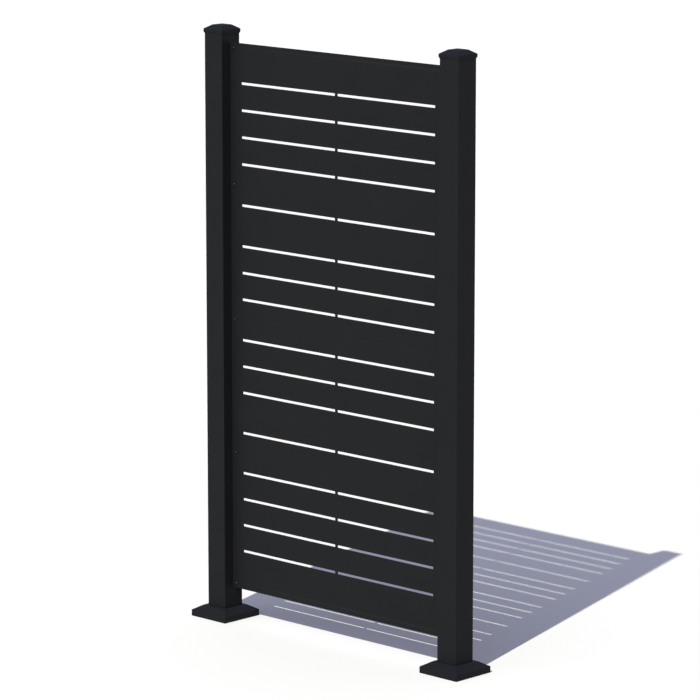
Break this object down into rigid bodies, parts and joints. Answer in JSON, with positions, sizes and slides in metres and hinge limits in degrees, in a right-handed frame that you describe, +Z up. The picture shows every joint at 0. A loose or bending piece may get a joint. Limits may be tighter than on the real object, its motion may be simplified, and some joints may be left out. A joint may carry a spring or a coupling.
{
  "type": "garden privacy screen",
  "caption": "Upright slotted metal screen panel between two square posts with crowned caps, on screw-down base plates under loose sliding skirts.",
  "frame": {"origin": "on the ground midway between the two posts, at the bottom centre of the bounding box", "axes": "+X along the panel to the right as seen from the front, -Y towards the front, +Z up along the posts"},
  "size_m": [1.145, 0.1524, 1.891],
  "materials": {
    "post_coat": "fine-textured matte black powder coat on extruded aluminium",
    "panel_coat": "fine-textured matte black powder coat on aluminium sheet",
    "cap_casting": "matte black powder coat on cast aluminium",
    "skirt_coat": "matte black powder coat on a cast aluminium shell",
    "hidden_metal_coat": "matte black powder coat on extruded or plate aluminium",
    "black_screws": "satin black coated steel",
    "zinc_steel": "bright zinc plated steel",
    "nylon": "black nylon"
  },
  "bodies": {
    "screen": {"left_post": "post_coat", "right_post": "post_coat", "left_cap": "cap_casting", "right_cap": "cap_casting", "left_base_plate": "hidden_metal_coat", "right_base_plate": "hidden_metal_coat", "left_base_screws": "zinc_steel", "right_base_screws": "zinc_steel", "slotted_panel": "panel_coat", "left_angle": "hidden_metal_coat", "right_angle": "hidden_metal_coat", "left_panel_screws": "black_screws", "right_panel_screws": "black_screws", "left_panel_washers": "nylon", "right_panel_washers": "nylon", "left_panel_nuts": "zinc_steel", "right_panel_nuts": "zinc_steel", "left_angle_screws": "black_screws", "right_angle_screws": "black_screws"},
    "left_skirt": {"left_skirt": "skirt_coat"},
    "right_skirt": {"right_skirt": "skirt_coat"}
  },
  "joints": [
    {"name": "left_skirt_lift", "type": "slide", "parent": "screen", "child": "left_skirt", "axis": [0, 0, 1], "range_m": [0, 0.064]},
    {"name": "right_skirt_lift", "type": "slide", "parent": "screen", "child": "right_skirt", "axis": [0, 0, 1], "range_m": [0, 0.064]}
  ]
}
